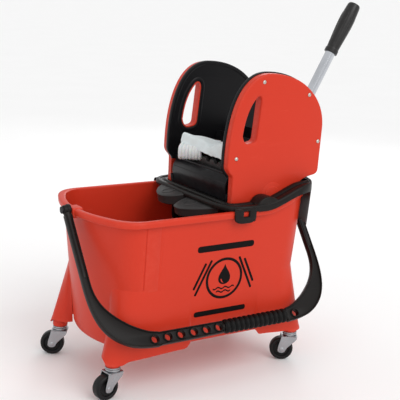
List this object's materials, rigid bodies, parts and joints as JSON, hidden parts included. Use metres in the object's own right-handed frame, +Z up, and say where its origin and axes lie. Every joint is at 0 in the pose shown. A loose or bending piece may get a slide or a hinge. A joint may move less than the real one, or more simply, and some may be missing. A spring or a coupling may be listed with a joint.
{
  "type": "mop bucket with wringer",
  "caption": "Castored plastic mop bucket with a bail handle and a lift-off lever wringer whose geared plate squeezes a mop head between two tall side panels.",
  "frame": {"origin": "on the floor, at the bottom centre of the whole object's bounding box", "axes": "+X along the bucket towards the wringer end, +Y across it away from the lever's side, +Z up"},
  "size_m": [0.6242, 0.3424, 0.7503],
  "materials": {
    "red_plastic": "satin moulded polypropylene",
    "black_plastic": "satin moulded",
    "liner_plastic": "semi-gloss moulded",
    "grip_rubber": "matt",
    "bush_plastic": "satin",
    "grey_plastic": "satin moulded",
    "chromed_tube": "bright plated",
    "gear_iron": "as cast, greased",
    "zinc_steel": "zinc plated",
    "screw_steel": "zinc plated",
    "castor_steel": "bright zinc plated",
    "castor_tyre": "satin",
    "mop_cotton": "soft looped yarn",
    "mop_canvas": "woven band"
  },
  "bodies": {
    "bucket": {"bucket": "red_plastic", "castor_stem_front_near": "castor_steel", "castor_stem_front_far": "castor_steel", "castor_stem_rear_near": "castor_steel", "castor_stem_rear_far": "castor_steel", "bail_pin_front": "zinc_steel", "bail_pin_rear": "zinc_steel"},
    "castor_fork_front_near": {"castor_fork_front_near": "castor_steel", "castor_axle_front_near": "castor_steel"},
    "castor_wheel_front_near": {"castor_wheel_front_near": "castor_tyre"},
    "castor_fork_front_far": {"castor_fork_front_far": "castor_steel", "castor_axle_front_far": "castor_steel"},
    "castor_wheel_front_far": {"castor_wheel_front_far": "castor_tyre"},
    "castor_fork_rear_near": {"castor_fork_rear_near": "castor_steel", "castor_axle_rear_near": "castor_steel"},
    "castor_wheel_rear_near": {"castor_wheel_rear_near": "castor_tyre"},
    "castor_fork_rear_far": {"castor_fork_rear_far": "castor_steel", "castor_axle_rear_far": "castor_steel"},
    "castor_wheel_rear_far": {"castor_wheel_rear_far": "castor_tyre"},
    "bail": {"bail_handle": "black_plastic", "bail_grip": "grip_rubber"},
    "wringer": {"wringer_collar": "black_plastic", "wringer_trough": "liner_plastic", "drain_tray": "grey_plastic", "side_shell_near": "red_plastic", "side_shell_far": "red_plastic", "side_liner_near": "liner_plastic", "side_liner_far": "liner_plastic", "panel_screw_near_1": "screw_steel", "panel_screw_near_2": "screw_steel", "panel_screw_near_3": "screw_steel", "panel_screw_near_4": "screw_steel", "panel_screw_far_1": "screw_steel", "panel_screw_far_2": "screw_steel", "panel_screw_far_3": "screw_steel", "panel_screw_far_4": "screw_steel", "lever_bush": "bush_plastic", "press_bush_near": "bush_plastic", "press_bush_far": "bush_plastic", "back_plate": "liner_plastic", "gear_guard": "liner_plastic"},
    "lever": {"lever_shaft": "zinc_steel", "lever_socket": "gear_iron", "lever_tube": "chromed_tube", "lever_grip": "grip_rubber", "lever_gear": "gear_iron"},
    "press": {"press_shaft": "zinc_steel", "press_plate": "grey_plastic", "press_gear": "gear_iron"},
    "mop": {"mop_yarn": "mop_cotton", "mop_band": "mop_canvas"}
  },
  "joints": [
    {"name": "castor_swivel_front_near", "type": "hinge", "parent": "bucket", "child": "castor_fork_front_near", "pos_m": [-0.25679, -0.10994, 0.06], "axis": [0, 0, 1], "continuous": true},
    {"name": "castor_spin_front_near", "type": "hinge", "parent": "castor_fork_front_near", "child": "castor_wheel_front_near", "pos_m": [-0.27267, -0.11189, 0.02479], "axis": [0.1219, -0.9925, 0], "continuous": true},
    {"name": "castor_swivel_front_far", "type": "hinge", "parent": "bucket", "child": "castor_fork_front_far", "pos_m": [-0.25679, 0.13006, 0.06], "axis": [0, 0, 1], "continuous": true},
    {"name": "castor_spin_front_far", "type": "hinge", "parent": "castor_fork_front_far", "child": "castor_wheel_front_far", "pos_m": [-0.2702, 0.13878, 0.02479], "axis": [-0.5446, -0.8387, 0], "continuous": true},
    {"name": "castor_swivel_rear_near", "type": "hinge", "parent": "bucket", "child": "castor_fork_rear_near", "pos_m": [0.16421, -0.10994, 0.06], "axis": [0, 0, 1], "continuous": true},
    {"name": "castor_spin_rear_near", "type": "hinge", "parent": "castor_fork_rear_near", "child": "castor_wheel_rear_near", "pos_m": [0.1508, -0.10122, 0.02479], "axis": [-0.5446, -0.8387, 0], "continuous": true},
    {"name": "castor_swivel_rear_far", "type": "hinge", "parent": "bucket", "child": "castor_fork_rear_far", "pos_m": [0.16421, 0.13006, 0.06], "axis": [0, 0, 1], "continuous": true},
    {"name": "castor_spin_rear_far", "type": "hinge", "parent": "castor_fork_rear_far", "child": "castor_wheel_rear_far", "pos_m": [0.14876, 0.1342, 0.02479], "axis": [-0.2588, -0.9659, 0], "continuous": true},
    {"name": "bail_swing", "type": "hinge", "parent": "bucket", "child": "bail", "pos_m": [-0.04629, 0.01006, 0.345], "axis": [-1, 0, 0], "range_deg": [0, 98]},
    {"name": "wringer_lift", "type": "slide", "parent": "bucket", "child": "wringer", "axis": [0, 0, 1], "range_m": [0, 0.25]},
    {"name": "lever_swing", "type": "hinge", "parent": "wringer", "child": "lever", "pos_m": [0.09071, -0.07744, 0.368], "axis": [0, -1, 0], "range_deg": [0, 60]},
    {"name": "press_swing", "type": "hinge", "parent": "wringer", "child": "press", "pos_m": [0.03356, 0.01006, 0.335], "axis": [0, 1, 0], "range_deg": [0, 34.3]},
    {"name": "mop_lift", "type": "slide", "parent": "wringer", "child": "mop", "axis": [0, 0, 1], "range_m": [0, 0.3]}
  ],
  "couplings": [
    {"joint": "press_swing", "follows": "lever_swing", "ratio": 0.57143}
  ]
}
